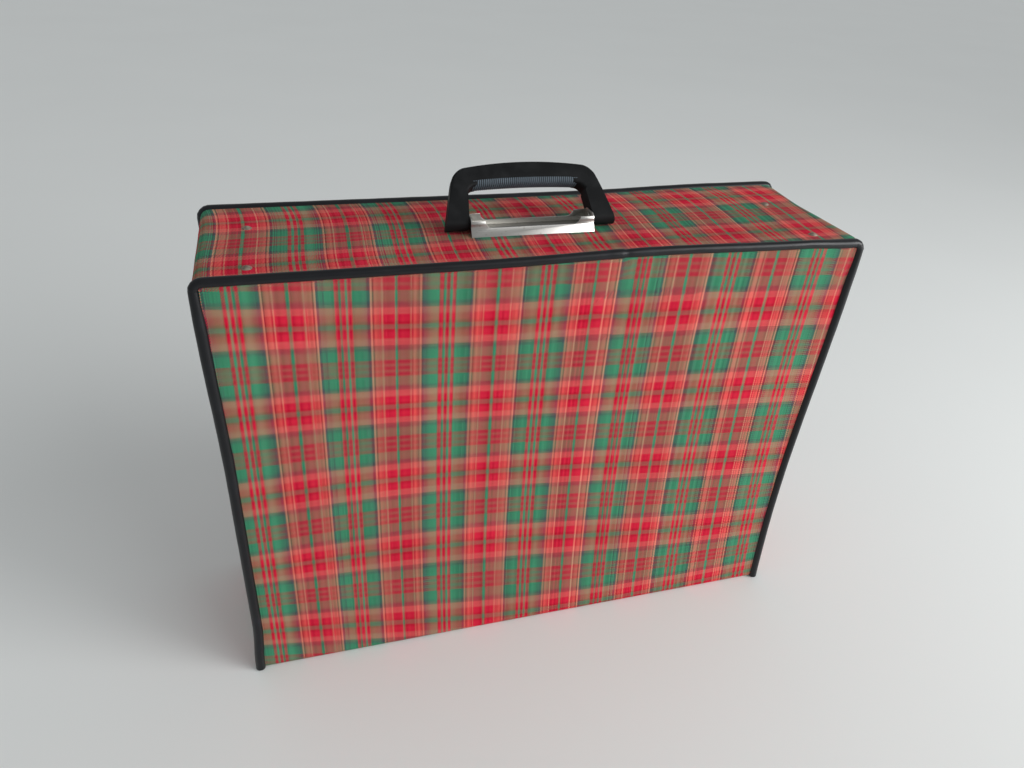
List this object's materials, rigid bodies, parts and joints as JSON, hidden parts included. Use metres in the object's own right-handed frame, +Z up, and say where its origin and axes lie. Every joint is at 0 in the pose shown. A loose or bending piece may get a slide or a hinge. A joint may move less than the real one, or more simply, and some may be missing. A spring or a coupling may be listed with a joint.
{
  "type": "suitcase",
  "caption": "Upright cloth-covered travelling case with piped edges, a folding carrying handle on a metal plate, and a zipped rear lid hinged along its bottom edge.",
  "frame": {"origin": "on the floor, under the middle of the case", "axes": "+X along the width, +Y from the front panel to the rear lid, +Z up"},
  "size_m": [0.5546, 0.1546, 0.4563],
  "materials": {
    "tartan_cloth": "woven cotton, red and green check",
    "lining_cloth": "plain woven, matt",
    "board": "raw fibreboard",
    "piping_vinyl": "soft gloss",
    "handle_plastic": "satin moulded",
    "nickel_plate": "bright nickel, worn",
    "rivet_steel": "dull",
    "bracket_steel": "zinc plated",
    "zip_tape": "woven tape",
    "zip_coil": "moulded coil",
    "zip_metal": "nickel plated"
  },
  "bodies": {
    "case": {"bottom_board": "board", "bottom_cover": "tartan_cloth", "bottom_lining": "lining_cloth", "front_board": "board", "front_cover": "tartan_cloth", "front_lining": "lining_cloth", "top_board": "board", "end_board_left": "board", "end_board_right": "board", "band_cover": "tartan_cloth", "band_lining": "lining_cloth", "front_piping": "piping_vinyl", "rear_piping": "piping_vinyl", "corner_tape_left": "lining_cloth", "corner_tape_right": "lining_cloth", "corner_bracket_left": "bracket_steel", "corner_bracket_right": "bracket_steel", "corner_rivets": "rivet_steel", "handle_plate": "nickel_plate", "handle_backing": "bracket_steel", "handle_rivets": "nickel_plate", "zip_tape_case": "zip_tape", "zip_coil_case": "zip_coil", "zip_stops": "zip_metal"},
    "handle": {"handle_grip": "handle_plastic", "handle_pins": "nickel_plate"},
    "lid": {"lid_board": "board", "lid_cover": "tartan_cloth", "lid_lining": "lining_cloth", "zip_tape_lid": "zip_tape", "zip_coil_lid": "zip_coil"},
    "slider_left": {"zip_slider_left": "zip_metal"},
    "slider_right": {"zip_slider_right": "zip_metal"},
    "pull_left": {"pull_tab_left": "zip_metal"},
    "pull_right": {"pull_tab_right": "zip_metal"}
  },
  "joints": [
    {"name": "handle_fold", "type": "hinge", "parent": "case", "child": "handle", "pos_m": [-0.009, -0.01, 0.4181], "axis": [1, 0, 0], "range_deg": [-40, 130]},
    {"name": "lid_hinge", "type": "hinge", "parent": "case", "child": "lid", "pos_m": [0, 0.073, 0.0004], "axis": [-1, 0, 0], "range_deg": [0, 90]},
    {"name": "zip_left", "type": "slide", "parent": "case", "child": "slider_left", "axis": [0, 0, 1], "range_m": [0, 0.335]},
    {"name": "zip_right", "type": "slide", "parent": "case", "child": "slider_right", "axis": [0, 0, 1], "range_m": [0, 0.335]},
    {"name": "pull_left_swing", "type": "hinge", "parent": "slider_left", "child": "pull_left", "pos_m": [-0.2627, 0.0748, 0.0333], "axis": [1, 0, 0], "range_deg": [0, 170]},
    {"name": "pull_right_swing", "type": "hinge", "parent": "slider_right", "child": "pull_right", "pos_m": [0.2627, 0.0748, 0.0333], "axis": [1, 0, 0], "range_deg": [0, 170]}
  ]
}
